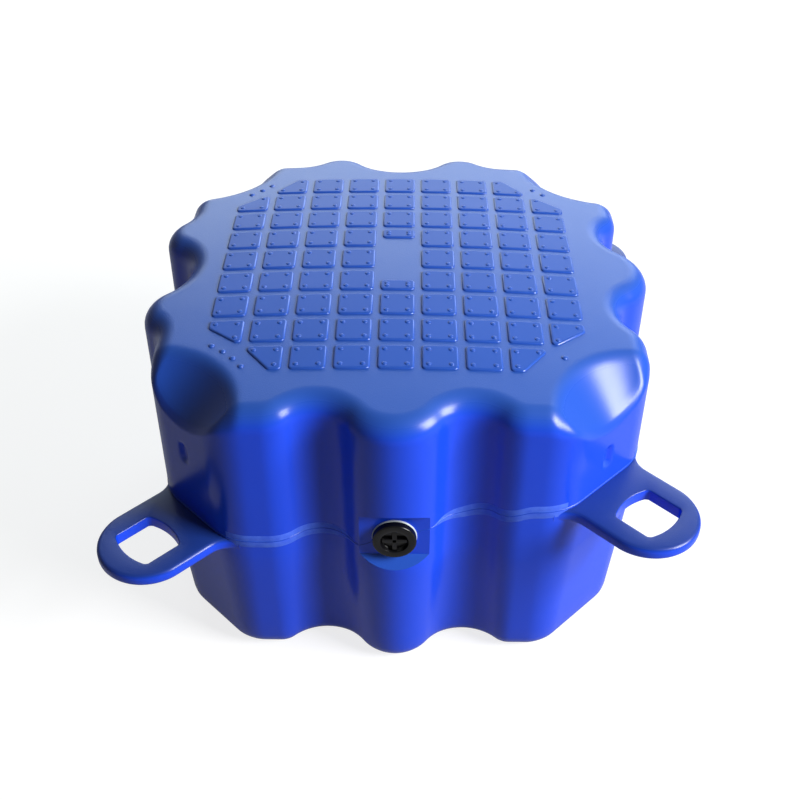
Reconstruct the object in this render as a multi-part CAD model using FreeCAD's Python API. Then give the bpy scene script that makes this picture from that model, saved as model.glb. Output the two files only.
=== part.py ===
import FreeCAD, Part
import math
import os

# Floating dock cube: a blow-moulded air float with interlocking wavy sides, a crowned deck with
# a field of raised pads, four stepped corner lugs and a screw plug. Millimetres, +Z up, the front
# with the plug faces -Y, the origin is the centre of the underside.

V = FreeCAD.Vector
UP = V(0, 0, 1)

# Module: lug holes sit on a square grid, and neighbours leave a gap between their sides.
PITCH = 500.0
GAP = 2.0
DECK_Z = 357.0
CROWN_R = 3000.0

# Side wave: half-lengths along a side and heights above or below the mean side line.
WAVE_CENTRE = 22.0
WAVE_VALLEY = -15.5
WAVE_SIDE = 4.5
VALLEY_T = 75.0
VALLEY_R = 38.0
SIDE_T = 126.0
CORNER_R = 58.0

# Sum of the two plan distances on a corner flat, short of the module corner by a setback.
CORNER_SETBACK = 79.0
CORNER_CUT = PITCH - CORNER_SETBACK

# Section of the side: upright down to the draft level, drawn in below it in bands, both edges
# rounded off, and a shoulder that rises to a crest above the crown.
DRAFT_Z = 156.0
DRAFT = math.radians(4.4)
DRAFT_BANDS = 3
STEEP = 4.0
TOP_R = 21.0
TOP_FLATS = 3
LOW_FLATS = 2
EDGE_DROP = 14.5
SHOULDER = math.radians(15.0)
CREST_RISE = 5.0

# What the flat underside and the crest leave to the hub of the tightest convex arc.
LOW_GAP = 2.0
CREST_GAP = 4.5

# Corner scoops: cones round the module corners that clear the heads of the coupling pins.
SCOOP_R = 104.0
SCOOP_DROP = 10.4
SCOOP_SLOPE = math.radians(45.0)
SCOOP_EDGE_R = 14.0
SCOOP_EDGE_SLOPE = math.radians(10.0)
SCOOP_FLATS = 1
SCOOP_FOOT_R = 30.0
SCOOP_BRIM_W = 30.0
SCOOP_RISE = 40.0

# Lugs: one level each, so that four neighbours stack round one pin.
LUG_T = 14.0
LUG_STEP = 15.0
LUG_TOP_Z = 223.0
LUG_R = 51.0
LUG_ROOT = 40.0
LUG_BEVEL = 3.2
LUG_BEVEL_W = 2.2
LUG_FLARE_R = 26.0
HOLE_W = 54.0
HOLE_L = 52.5
HOLE_END_R = 61.0
HOLE_D = 65.0
HOLE_PAST = 10.0
LUGS_DOWN = ("front_right", "back_right", "back_left", "front_left")
CORNER_TURN = {"front_left": math.radians(-135), "front_right": math.radians(-45),
               "back_right": math.radians(45), "back_left": math.radians(135)}
# Whether the sides left and right of a lug, seen from the centre, are the outward ones.
LUG_SIDES = {"front_left": (True, False), "front_right": (True, True),
             "back_right": (False, True), "back_left": (False, False)}

# Corner dimples between scoop and lug.
DIMPLE_R = 12.0
DIMPLE_L = 13.0
DIMPLE_TAPER = 9.0
DIMPLE_DEPTH = 3.6
DIMPLE_Z = 261.0

# Deck pads: a square grid with the corners cut back and a blank place in the middle.
PAD_PITCH = 42.8
PAD_N = 9
PAD_W = 35.6
PAD_H = 2.4
PAD_BEVEL = 1.1
PAD_SINK = 1.0
CUT_FAR = (187.5, 124.5)
CUT_NEAR = (157.0, 148.5)

# Plug in its pocket in the front centre lobe.
PLUG_Z = 196.0
POCKET_H = 51.0
POCKET_DEPTH = 40.0
POCKET_FLARE = math.radians(42.0)
POCKET_SINK = 12.5
POCKET_Y = POCKET_SINK - WAVE_CENTRE - (PITCH - GAP) / 2
BORE_D = 34.0
BORE_L = 34.0
BORE_PAST = 1.0
SEAL_D = 45.0
SEAL_T = 2.2
CAP_D = 44.0
CAP_T = 7.5
CAP_CUP_D = 28.0
CAP_CUP_DEPTH = 5.0
KEY_L = 25.0
KEY_W = 5.0
KEY_H = 3.2
SHANK_D = 33.2
SHANK_L = 21.0

# Points closer than this are one point.
SAME = 0.001


def moved(shape, at):
    shape.translate(at)
    return shape


def turned(x, y, quarters):
    """The point turned about the origin by whole quarter turns."""
    for _ in range(quarters):
        x, y = -y, x
    return x, y


def arc(centre, radius, start, end, convex):
    """A stretch of the plan outline on a circle; convex where the solid lies on the circle's side."""
    return {"kind": "arc", "c": centre, "r": radius, "s": start, "e": end, "convex": convex}


def line(start, end):
    return {"kind": "line", "s": start, "e": end}


def crossing(near, far, near_r):
    """Where two arcs meet that join a level point to the next one: (radius of the far arc, point)."""
    length, fall = far[0] - near[0], near[1] - far[1]
    both = (length ** 2 + fall ** 2) / (2 * abs(fall))
    share = near_r / both
    return both - near_r, (near[0] + length * share, near[1] - fall * share)


def side_heights(outward):
    """Distances of the centre, the valleys and the outer lobes from the middle of the float."""
    mean = (PITCH - GAP) / 2
    sign = 1 if outward else -1
    return [mean + sign * h for h in (WAVE_CENTRE, WAVE_VALLEY, WAVE_SIDE)]


def side(outward):
    """One side from corner flat to corner flat, in side coordinates (t along, w outward)."""
    centre, valley, lobe = side_heights(outward)
    bulge = math.copysign(1, centre - valley)
    nose_r, inner = crossing((VALLEY_T, valley), (0, centre), VALLEY_R)
    lobe_r, outer = crossing((VALLEY_T, valley), (SIDE_T, lobe), VALLEY_R)
    dip = CORNER_R * math.sin(math.pi / 4)
    rise = CORNER_R * (1 - math.cos(math.pi / 4))
    corner_t = CORNER_CUT - lobe - CORNER_R * math.tan(math.pi / 8)
    valley_hub = (VALLEY_T, valley + bulge * VALLEY_R)
    half = [
        arc(valley_hub, VALLEY_R, inner, outer, bulge < 0),
        arc((SIDE_T, lobe - bulge * lobe_r), lobe_r, outer, (SIDE_T, lobe), bulge > 0),
        line((SIDE_T, lobe), (corner_t, lobe)),
        arc((corner_t, lobe - CORNER_R), CORNER_R, (corner_t, lobe), (corner_t + dip, lobe - rise), True),
    ]
    nose = arc((0, centre - bulge * nose_r), nose_r, (-inner[0], inner[1]), inner, bulge > 0)
    return [flipped(part) for part in reversed(half)] + [nose] + half


def flipped(part):
    """A stretch mirrored to the other half of its side."""
    out = dict(part)
    out["s"], out["e"] = (-part["e"][0], part["e"][1]), (-part["s"][0], part["s"][1])
    if "c" in part:
        out["c"] = (-part["c"][0], part["c"][1])
    return out


def outline():
    """The plan outline at the parting level, counter-clockwise from the front left corner."""
    path = []
    for quarters, outward in enumerate((True, True, False, False)):
        for part in side(outward):
            placed = dict(part)
            for key in ("s", "e", "c"):
                if key in part:
                    t, w = part[key]
                    placed[key] = turned(t, -w, quarters)
            if path and math.dist(path[-1]["e"], placed["s"]) > SAME:
                path.append(line(path[-1]["e"], placed["s"]))
            path.append(placed)
    path.append(line(path[-1]["e"], path[0]["s"]))
    return path


def inward(part, end=False):
    """The unit vector into the solid at the start or the end of a stretch."""
    x, y = part["e"] if end else part["s"]
    if part["kind"] == "line":
        (x0, y0), (x1, y1) = part["s"], part["e"]
        length = math.dist(part["s"], part["e"])
        return V(-(y1 - y0) / length, (x1 - x0) / length, 0)
    cx, cy = part["c"]
    sign = 1 if part["convex"] else -1
    return V(sign * (cx - x) / part["r"], sign * (cy - y) / part["r"], 0)


def placed_edge(part, points):
    """A profile edge, given as (inset, z) points, stood on the start of a stretch."""
    n = inward(part)
    x, y = part["s"]
    return Part.makeLine(*[V(x, y, z) + n * inset for inset, z in points])


def carried(shape, part):
    """A shape carried along a stretch: turned about its circle or moved along its line."""
    if part["kind"] == "line":
        (x0, y0), (x1, y1) = part["s"], part["e"]
        return shape.extrude(V(x1 - x0, y1 - y0, 0))
    cx, cy = part["c"]
    a0 = math.atan2(part["s"][1] - cy, part["s"][0] - cx)
    a1 = math.atan2(part["e"][1] - cy, part["e"][0] - cx)
    sweep = math.degrees((a1 - a0 + math.pi) % (2 * math.pi) - math.pi)
    return shape.revolve(V(cx, cy, 0), UP, sweep)


def skin(part, edge):
    """One face of a swept block: a drafted wall is a ruled face, the rest are turned or pulled."""
    (inset0, z0), (inset1, z1) = edge
    steep = z1 - z0 > STEEP * abs(inset1 - inset0) > SAME
    if steep and part["kind"] == "arc":
        return Part.makeRuledSurface(level_edge(part, inset0, z0), level_edge(part, inset1, z1))
    return carried(placed_edge(part, edge), part)


def level_edge(part, inset, z):
    """The stretch itself, moved inward and set at a level."""
    x0, y0 = part["s"]
    x1, y1 = part["e"]
    start = V(x0, y0, z) + inward(part) * inset
    end = V(x1, y1, z) + inward(part, end=True) * inset
    if part["kind"] == "line":
        return Part.makeLine(start, end)
    n = inward(part) + inward(part, end=True)
    n.normalize()
    cx, cy = part["c"]
    reach = part["r"] if part["convex"] else -part["r"]
    middle = V(cx, cy, z) - n * reach + n * inset
    return Part.Arc(start, middle, end).toShape()


def sewn(faces):
    """A solid from faces whose edges coincide."""
    skin = Part.makeCompound(faces)
    skin.sewShape()
    solid = Part.makeSolid(Part.makeShell(skin.Faces))
    if solid.Volume < 0:
        solid.reverse()
    return solid


def swept_block(path, profile):
    """A closed block whose side follows the path with the given profile, listed from the bottom up."""
    faces = [skin(part, edge) for part in path for edge in profile]
    for inset, z in (profile[0][0], profile[-1][-1]):
        rim = Part.Wire([level_edge(part, inset, z) for part in path])
        faces.append(Part.Face(rim))
    return sewn(faces)


def rounded(corner, rise_in, rise_out, radius):
    """Start, middle and end of an arc that rounds a corner between two rising lines of a section."""
    x, z = corner
    reach = radius * math.tan(abs(rise_in - rise_out) / 2)
    start = (x - reach * math.cos(rise_in), z - reach * math.sin(rise_in))
    end = (x + reach * math.cos(rise_out), z + reach * math.sin(rise_out))
    hub = (start[0] + radius * math.sin(rise_in), start[1] - radius * math.cos(rise_in))
    half = (rise_in + rise_out) / 2
    middle = (hub[0] - radius * math.sin(half), hub[1] + radius * math.cos(half))
    return [start, middle, end]


def in_flats(start, middle, end, count):
    """An arc of a section laid in equal flats, as a list of section edges."""
    at = [V(x, 0, z) for x, z in (start, middle, end)]
    points = Part.Arc(*at).toShape().discretize(count + 1)
    return [((a.x, a.z), (b.x, b.z)) for a, b in zip(points[:-1], points[1:])]


def in_bands(start, end, count):
    """A straight stretch of a section as equal edges one above the other."""
    points = [(start[0] + (end[0] - start[0]) * k / count, start[1] + (end[1] - start[1]) * k / count)
              for k in range(count + 1)]
    return list(zip(points[:-1], points[1:]))


def tightest_turn(path):
    """The smallest radius of the convex arcs, which no inset of the side section may reach."""
    return min(part["r"] for part in path if part["kind"] == "arc" and part["convex"])


def rounded_profile(reach):
    """Side section of the float up to a crest clear of the crown, for the tightest turn's radius."""
    edge = DECK_Z - EDGE_DROP
    crest_x = reach - CREST_GAP
    foot_x = DRAFT_Z * math.tan(DRAFT)
    low_r = (reach - LOW_GAP - foot_x) / math.tan(math.pi / 4 - DRAFT / 2)
    bottom = rounded((foot_x, 0), math.pi, math.pi / 2 + DRAFT, low_r)
    top = rounded((0, edge), math.pi / 2, SHOULDER, TOP_R)
    top[0] = (0, top[0][1])
    crest = (crest_x, top[2][1] + (crest_x - top[2][0]) * math.tan(SHOULDER))
    walls = in_bands(bottom[2], (0, DRAFT_Z), DRAFT_BANDS) + [((0, DRAFT_Z), top[0])]
    brow = [(top[2], crest), (crest, (crest_x, DECK_Z + CREST_RISE))]
    return in_flats(*bottom, LOW_FLATS) + walls + in_flats(*top, TOP_FLATS) + brow


def polygon(points):
    return Part.makePolygon(points + points[:1])


def crown():
    """The big ball whose top is the crowned deck, with its poles and seam turned away from it."""
    ball = Part.makeSphere(CROWN_R, V(0, 0, 0), V(0, 1, 0))
    ball.rotate(V(0, 0, 0), V(0, 1, 0), 180)
    return moved(ball, V(0, 0, DECK_Z - CROWN_R))


def corner_points():
    reach = PITCH / 2
    return {name: V(reach * math.copysign(1, math.cos(turn)),
                    reach * math.copysign(1, math.sin(turn)), 0)
            for name, turn in CORNER_TURN.items()}


def scoop():
    """The cone taken out at a module corner, with a soft upper edge where it meets the deck."""
    brim = (SCOOP_R, DECK_Z - SCOOP_DROP)
    edge = in_flats(*rounded(brim, SCOOP_SLOPE, SCOOP_EDGE_SLOPE, SCOOP_EDGE_R), SCOOP_FLATS)
    soft = [V(r, 0, z) for r, z in [edge[0][0]] + [end for start, end in edge]]
    foot = V(SCOOP_FOOT_R, 0, soft[0].z - (soft[0].x - SCOOP_FOOT_R) * math.tan(SCOOP_SLOPE))
    far = soft[-1] + V(math.cos(SCOOP_EDGE_SLOPE), 0, math.sin(SCOOP_EDGE_SLOPE)) * SCOOP_BRIM_W
    lid = DECK_Z + SCOOP_RISE
    section = [foot] + soft + [far, V(far.x, 0, lid), V(0, 0, lid), V(0, 0, foot.z)]
    return Part.Face(polygon(section)).revolve(V(0, 0, 0), UP, 360)


def dimple(name):
    """An upright hollow with tapered ends sunk in the corner flat."""
    half = DIMPLE_L / 2
    end, slim = half + DIMPLE_TAPER, DIMPLE_R - DIMPLE_TAPER
    reach = CORNER_CUT / math.sqrt(2) + DIMPLE_R - DIMPLE_DEPTH
    side = [V(0, 0, -end), V(slim, 0, -end), V(DIMPLE_R, 0, -half),
            V(DIMPLE_R, 0, half), V(slim, 0, end), V(0, 0, end)]
    shape = Part.Face(polygon(side)).revolve(V(0, 0, 0), UP, 360)
    shape.translate(V(reach, 0, DIMPLE_Z))
    return shape.rotated(V(0, 0, 0), UP, math.degrees(CORNER_TURN[name]))


def pocket():
    """The tapered cut that leaves a flat seat for the plug in the front centre lobe."""
    half = POCKET_H / 2
    flare = half + POCKET_DEPTH * math.tan(POCKET_FLARE)
    rim = [V(0, 0, -half), V(0, -POCKET_DEPTH, -flare), V(0, -POCKET_DEPTH, flare), V(0, 0, half)]
    tool = Part.Face(polygon(rim)).extrude(V(2 * VALLEY_T, 0, 0))
    return moved(tool, V(-VALLEY_T, POCKET_Y, PLUG_Z))


def bevelled_strip(inner, outer, low):
    """Upright section of a lug between two distances, with a bevel on the upper edge of its rim."""
    top = low + LUG_T
    flat = outer - math.copysign(LUG_BEVEL_W, outer - inner)
    rim = [V(0, inner, low), V(0, outer, low), V(0, outer, top - LUG_BEVEL), V(0, flat, top),
           V(0, inner, top)]
    return Part.Face(polygon(rim))


def lug_flare(low, outward):
    """The concave flare between a lug's flank and the round corner of the float's side."""
    lobe = side_heights(outward)[2]
    hub_t = CORNER_CUT - lobe - CORNER_R * math.tan(math.pi / 8)
    hub = V(lobe - CORNER_R + hub_t, lobe - CORNER_R - hub_t, 0) / math.sqrt(2)
    v = LUG_R + LUG_FLARE_R
    u = hub.x + math.sqrt((CORNER_R + LUG_FLARE_R) ** 2 - (v - hub.y) ** 2)
    sweep = 90 - math.degrees(math.atan2(v - hub.y, u - hub.x))
    strip = bevelled_strip(-LUG_FLARE_R - LUG_R / 2, -LUG_FLARE_R, low)
    return moved(strip.revolve(V(0, 0, 0), UP, -sweep), V(u, v, 0))


def lug_low(name):
    """Level of a lug's lower face."""
    return LUG_TOP_Z - LUGS_DOWN.index(name) * LUG_STEP - LUG_T


def lug(name):
    """One flat lug on the corner diagonal, with a bevelled rim; it ends inside the corner wall."""
    low = lug_low(name)
    hole_x = PITCH / math.sqrt(2)
    root_x = CORNER_CUT / math.sqrt(2) - LUG_ROOT
    plate = bevelled_strip(0, LUG_R, low).revolve(V(0, 0, 0), UP, -180)
    plate.translate(V(hole_x, 0, 0))
    for sign in (-1, 1):
        half = bevelled_strip(0, sign * LUG_R, low).extrude(V(hole_x - root_x, 0, 0))
        plate = plate.fuse(moved(half, V(root_x, 0, 0)))
    left_out, right_out = LUG_SIDES[name]
    plate = plate.fuse(lug_flare(low, left_out))
    plate = plate.fuse(lug_flare(low, right_out).mirror(V(0, 0, 0), V(0, 1, 0)))
    plate.rotate(V(0, 0, 0), UP, math.degrees(CORNER_TURN[name]))
    return plate


def lug_hole(name):
    """The near-square pin hole: two flat sides, two bowed ends and corners rounded by a circle."""
    height = LUG_T + 2 * HOLE_PAST
    shape = Part.makeBox(HOLE_D, HOLE_W, height, V(-HOLE_D / 2, -HOLE_W / 2, 0))
    for radius, x in ((HOLE_D / 2, 0), (HOLE_END_R, HOLE_L / 2 - HOLE_END_R),
                      (HOLE_END_R, HOLE_END_R - HOLE_L / 2)):
        shape = shape.common(Part.makeCylinder(radius, height, V(x, 0, 0)))
    shape.translate(V(PITCH / math.sqrt(2), 0, lug_low(name) - HOLE_PAST))
    shape.rotate(V(0, 0, 0), UP, math.degrees(CORNER_TURN[name]))
    return shape


def pad_outline(column, row):
    """Plan corners of a pad about its own centre; None where the deck is left bare."""
    half = PAD_W / 2
    i, j = column - PAD_N // 2, row - PAD_N // 2
    if i == 0 and j == 0:
        return None
    x0, x1, y0, y1 = -half, half, -half, half
    if i == 0 and abs(j) == 1:
        y0, y1 = (0, half) if j > 0 else (-half, 0)
    edge = PAD_N // 2
    if abs(i) == edge and abs(j) == edge:
        return None
    points = [(x0, y0), (x1, y0), (x1, y1), (x0, y1)]
    if {abs(i), abs(j)} == {edge, edge - 1}:
        points = cut_corner(points, i, j)
    return points


def cut_corner(points, i, j):
    """The outer corner of an end pad taken off along the line that follows the scoop."""
    far, near = (CUT_FAR, CUT_NEAR) if abs(i) > abs(j) else (CUT_FAR[::-1], CUT_NEAR[::-1])
    sx, sy = math.copysign(1, i), math.copysign(1, j)
    a = (sx * far[0] - i * PAD_PITCH, sy * far[1] - j * PAD_PITCH)
    b = (sx * near[0] - i * PAD_PITCH, sy * near[1] - j * PAD_PITCH)
    half = PAD_W / 2
    slope = (b[1] - a[1]) / (b[0] - a[0])
    at_x = (sx * half, a[1] + (sx * half - a[0]) * slope)
    at_y = (a[0] + (sy * half - a[1]) / slope, sy * half)
    ends = [(max(-half, min(half, x)), max(-half, min(half, y))) for x, y in (at_x, at_y)]
    corner = (sx * half, sy * half)
    out = []
    for p in points:
        if math.dist(p, corner) < SAME:
            turn_left = (sx > 0) == (sy > 0)
            out += ends if turn_left else ends[::-1]
        else:
            out.append(p)
    return out


def frustum(points, low, high, bevel):
    """A low block on plan points that narrows by a bevel from its foot to its top."""
    def ring(inset, z):
        count = len(points)
        out = []
        for k in range(count):
            px, py = points[k - 1]
            x, y = points[k]
            nx, ny = points[(k + 1) % count]
            ax, ay = (x - px) / math.dist((x, y), (px, py)), (y - py) / math.dist((x, y), (px, py))
            bx, by = (nx - x) / math.dist((x, y), (nx, ny)), (ny - y) / math.dist((x, y), (nx, ny))
            cross = ax * by - ay * bx
            out.append(V(x + inset * (bx - ax) / cross, y + inset * (by - ay) / cross, z))
        return out
    foot, top = ring(0, low), ring(bevel, high)
    faces = [Part.Face(polygon(foot)), Part.Face(polygon(top))]
    for k in range(len(points)):
        faces.append(Part.Face(polygon([foot[k - 1], foot[k], top[k], top[k - 1]])))
    return sewn(faces)


def on_deck(shape, x, y):
    """A shape made at the deck's centre, carried over the crown to a place."""
    hub = V(0, 0, DECK_Z - CROWN_R)
    reach = math.hypot(x, y)
    if reach > 0:
        axis = V(-y / reach, x / reach, 0)
        shape.rotate(hub, axis, math.degrees(math.asin(reach / CROWN_R)))
    return shape


def deck_pads():
    pads = []
    for column in range(PAD_N):
        for row in range(PAD_N):
            points = pad_outline(column, row)
            if points is None:
                continue
            pad = frustum(points, DECK_Z - PAD_SINK, DECK_Z + PAD_H, PAD_BEVEL)
            x = (column - PAD_N // 2) * PAD_PITCH
            y = (row - PAD_N // 2) * PAD_PITCH
            pads.append(on_deck(pad, x, y))
    return pads


def along_plug(shape, depth):
    """A shape made about +Z, laid along the plug's axis with its base at a depth in front of the seat."""
    shape.rotate(V(0, 0, 0), V(1, 0, 0), 90)
    shape.translate(V(0, POCKET_Y - depth, PLUG_Z))
    return shape


def float_body():
    path = outline()
    body = swept_block(path, rounded_profile(tightest_turn(path))).common(crown())
    corners = corner_points()
    body = body.cut([moved(scoop(), at) for at in corners.values()])
    body = body.fuse([lug(name) for name in corners])
    body = body.cut([dimple(name) for name in corners])
    body = body.cut(pocket())
    body = body.cut([lug_hole(name) for name in corners])
    body = body.cut(along_plug(Part.makeCylinder(BORE_D / 2, BORE_L + BORE_PAST), -BORE_L))
    return body.fuse(deck_pads()).removeSplitter()


def plug_seal():
    ring = Part.makeCylinder(SEAL_D / 2, SEAL_T).cut(Part.makeCylinder(BORE_D / 2, SEAL_T))
    return along_plug(ring, 0)


def screw_plug():
    """Round cap with a key cross standing in its cup, and the shank that enters the bore."""
    half = CAP_D / 2
    cup = CAP_CUP_D / 2
    shank = SHANK_D / 2
    top = SEAL_T + CAP_T
    section = [V(0, 0, -SHANK_L), V(shank, 0, -SHANK_L), V(shank, 0, SEAL_T), V(half, 0, SEAL_T),
               V(half, 0, top), V(cup, 0, top), V(cup, 0, top - CAP_CUP_DEPTH),
               V(0, 0, top - CAP_CUP_DEPTH)]
    plug = Part.Face(polygon(section)).revolve(V(0, 0, 0), UP, 360)
    for length, width in ((KEY_L, KEY_W), (KEY_W, KEY_L)):
        corner = V(-length / 2, -width / 2, top - CAP_CUP_DEPTH)
        plug = plug.fuse(Part.makeBox(length, width, KEY_H, corner))
    return along_plug(plug.removeSplitter(), 0)


os.makedirs("parts", exist_ok=True)
float_body().exportStep("parts/float_body.step")
screw_plug().exportStep("parts/screw_plug.step")
plug_seal().exportStep("parts/plug_seal.step")
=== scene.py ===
import math

import bmesh
import bpy
import numpy as np
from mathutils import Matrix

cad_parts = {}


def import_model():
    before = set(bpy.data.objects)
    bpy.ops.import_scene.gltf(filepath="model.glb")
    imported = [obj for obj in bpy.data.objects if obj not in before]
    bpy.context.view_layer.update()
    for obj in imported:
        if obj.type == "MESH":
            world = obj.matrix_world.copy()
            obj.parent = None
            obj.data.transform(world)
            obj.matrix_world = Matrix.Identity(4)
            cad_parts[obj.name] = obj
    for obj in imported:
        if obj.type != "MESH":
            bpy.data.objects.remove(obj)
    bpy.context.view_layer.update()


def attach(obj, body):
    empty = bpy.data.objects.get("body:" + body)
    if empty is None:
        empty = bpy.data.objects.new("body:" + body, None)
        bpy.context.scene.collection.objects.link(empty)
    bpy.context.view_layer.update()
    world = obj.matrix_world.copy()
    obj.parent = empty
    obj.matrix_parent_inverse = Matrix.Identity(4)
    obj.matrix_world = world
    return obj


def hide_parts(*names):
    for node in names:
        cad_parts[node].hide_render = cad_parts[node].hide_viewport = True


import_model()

MM = 0.001

# Tolerances, in metres
WELD = 1e-6
LEVEL_SLACK = 1e-5

# Module and section of the float, in millimetres like all sizes down to the thread
PITCH = 500.0
GAP = 2.0
DECK_Z = 357.0
CROWN_R = 3000.0
WAVE_CENTRE = 22.0
WAVE_VALLEY = -15.5
WAVE_SIDE = 4.5
VALLEY_T = 75.0
VALLEY_R = 38.0
SIDE_T = 126.0
CORNER_CUT = 421.0
CORNER_R = 58.0
DRAFT_Z = 156.0
DRAFT = math.radians(4.4)
TOP_R = 21.0
LOW_R = 24.9
COLLAR_INSET = 30.0

# Fineness of the skin: the step along the outline, the number of levels on each stretch of the
# section, and how far from the middle the flat rings lie, as shares of their full reach
OUTLINE_STEP = 3.6
LOW_EDGE_LEVELS = 8
DRAFT_LEVELS = 8
WALL_LEVELS = 60
TOP_EDGE_LEVELS = 9
COLLAR_LEVELS = 7
DECK_RIM_LEVELS = 19
DECK_LEVELS = 18
UNDERSIDE_SHARES = (0.5, 0.97)
DECK_RIM_SHARE = 0.80
DECK_HUB_SHARE = 0.02

# Corner scoops
SCOOP_R = 104.0
SCOOP_DROP = 10.4
SCOOP_BLEND = 6.5
SCOOP_RIM_R = 5.5
SCOOP_RIM_DEPTH = 26.0

# Corner dimples
DIMPLE_R = 8.6
DIMPLE_HALF = 6.5
DIMPLE_DEPTH = 3.6
DIMPLE_Z = 261.0

# Lugs, and the numbers of points on their curves
LUG_T = 14.0
LUG_STEP = 15.0
LUG_TOP_Z = 223.0
LUG_R = 51.0
LUG_ROUND = 4.6
LUG_FLARE_R = 26.0
LUG_FLARE_STOP = 0.12
LUG_ROOT = 40.0
LUG_ROOT_INSET = 12.0
HOLE_W = 54.0
HOLE_L = 52.5
HOLE_END_R = 61.0
HOLE_D = 65.0
HOLE_ROUND = 1.6
FLARE_POINTS = 12
TIP_POINTS = 40
HOLE_POINTS = 144
CORNERS = {
    "front_right": {"turn": -45, "level": 0, "outward": (True, True)},
    "back_right": {"turn": 45, "level": 1, "outward": (False, True)},
    "back_left": {"turn": 135, "level": 2, "outward": (False, False)},
    "front_left": {"turn": -135, "level": 3, "outward": (True, False)},
}

# Mould seam: a fine ridge that settles at each quarter's own level, in a lighter band by the lugs that
# is a painted highlight.
# Sections are shares of the half width across and of the height outward.
SEAM_Z = 193.5
SEAM_FOLLOW = 0.56
SEAM_W = 0.9
SEAM_H = 0.6
SEAM_SECTION = [(-1.0, -0.6), (-0.55, 0.55), (0.0, 1.0), (0.55, 0.55), (1.0, -0.6)]
SEAM_ROOT_RISE = 9.0
SEAM_START = 80.0
SEAM_RUN = 40.0
SEAT_BLEND = 40.0
# The lighter band by the lugs is a painted highlight.
HIGHLIGHT_BAND_W = 8.5
HIGHLIGHT_BAND_H = 0.15
HIGHLIGHT_BAND_SECTION = [(-1.0, -1.0), (-0.9, 1.0), (-0.3, 1.0), (0.3, 1.0), (0.9, 1.0), (1.0, -1.0)]
HIGHLIGHT_BAND_START = 104.0
HIGHLIGHT_BAND_RUN = 52.0

# Deck pads, with the ends of the line that cuts one back beside a scoop
PAD_PITCH = 42.8
PAD_N = 9
PAD_W = 35.6
PAD_H = 1.6
PAD_BEVEL = 2.1
PAD_BEVEL_POINTS = 6
PAD_CORNER_R = 4.2
PAD_SINK = 0.8
PAD_TOP_RING = 0.8
CUT_FAR = (187.5, 124.5)
CUT_NEAR = (157.0, 148.5)

# Studs on the pads and level dots beside the scoops, both low domes
STUD_REACH = 11.0
STUD_D = 5.2
STUD_H = 0.85
DOT_RING_R = 121.0
DOT_STEP = 15.5
DOT_D = 6.4
DOT_H = 1.5
DOME_SIDES = 13
DOME_ANGLES = (0.0, 0.4, 0.8, 1.2)
DOME_SINK = 1.0

# Pocket and bore of the plug
PLUG_Z = 196.0
POCKET_H = 51.0
POCKET_FLARE = math.radians(42.0)
POCKET_Y = -258.5
POCKET_REACH = 40.0
POCKET_HALF_SPAN = PITCH / 10
BORE_D = 34.0
BORE_L = 34.0
BORE_REACH = 5.0

# Plug, seal and thread. NEAR_AXIS is the radius at which a turned piece ends in its middle, the
# key's edge is (inset, rise from its top), and the thread's section is shares of pitch and height.
NEAR_AXIS = 0.01
SEAL_D = 45.0
SEAL_T = 2.2
SEAL_CHAMFER = 0.5
CAP_D = 44.0
CAP_T = 7.5
CAP_CHAMFER = 0.6
CAP_ROUND = 2.0
CAP_ROUND_POINTS = 5
CAP_CUP_D = 28.0
CAP_CUP_DEPTH = 5.0
CUP_RIM = 1.0
CUP_RIM_CUT = 0.3
CUP_FLOOR_ROUND = 0.8
KEY_L = 25.0
KEY_W = 5.0
KEY_H = 3.2
KEY_CORNER_R = 1.2
KEY_EDGE = [(0, -0.7), (0.25, -0.2), (0.8, 0)]
SHANK_D = 33.2
SHANK_L = 21.0
SHANK_CHAMFER = 0.8
THREAD_PITCH = 3.2
THREAD_H = 0.35
THREAD_START = 1.6
THREAD_END = 4.0
THREAD_SECTION = [(0.0, 0), (0.3, 1), (0.5, 1), (0.8, 0)]

# Angles, in degrees, above which an edge stays sharp
PIECE_SMOOTH = 40
SKIN_SMOOTH = 32
LUG_SMOOTH = 35
STRIP_SMOOTH = 60
PAD_SMOOTH = 60
DOME_SMOOTH = 80
KEY_SMOOTH = 35

# Colours, as the two ends of a mottling where there are two
WALL_BLUES = (0.006, 0.053, 0.66), (0.009, 0.066, 0.76)
# The deck's blue, mixed in on what faces up, is painted sheen and shade: greyer and duller than the
# sides.
DECK_SHEEN_SHADE_BLUE = (0.019, 0.086, 0.42)
# The lugs' tops get a darker blue: painted shade for their lower light.
LUG_SHADED_BLUE = (0.008, 0.036, 0.24)
# The pads' blue, like the deck's, is painted sheen and shade.
PAD_SHEEN_SHADE_BLUES = (0.014, 0.074, 0.40), (0.020, 0.090, 0.48)
# The lighter band by the lugs: painted highlight.
SEAM_HIGHLIGHT_BLUES = (0.030, 0.090, 0.74), (0.09, 0.20, 0.88)
PLUG_BLACKS = (0.002, 0.002, 0.003), (0.005, 0.005, 0.006)
SEAL_GREYS = (0.50, 0.56, 0.56), (0.62, 0.68, 0.67)

# Scale and detail of each noise, in the object's own metres
WALL_MOTTLE = (9, 4)
PAD_MOTTLE = (9, 2)
SPECKLE_DETAIL = 2
WAVE_NOISE = (14, 1)
GRAIN_NOISE = (900, 2)

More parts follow.
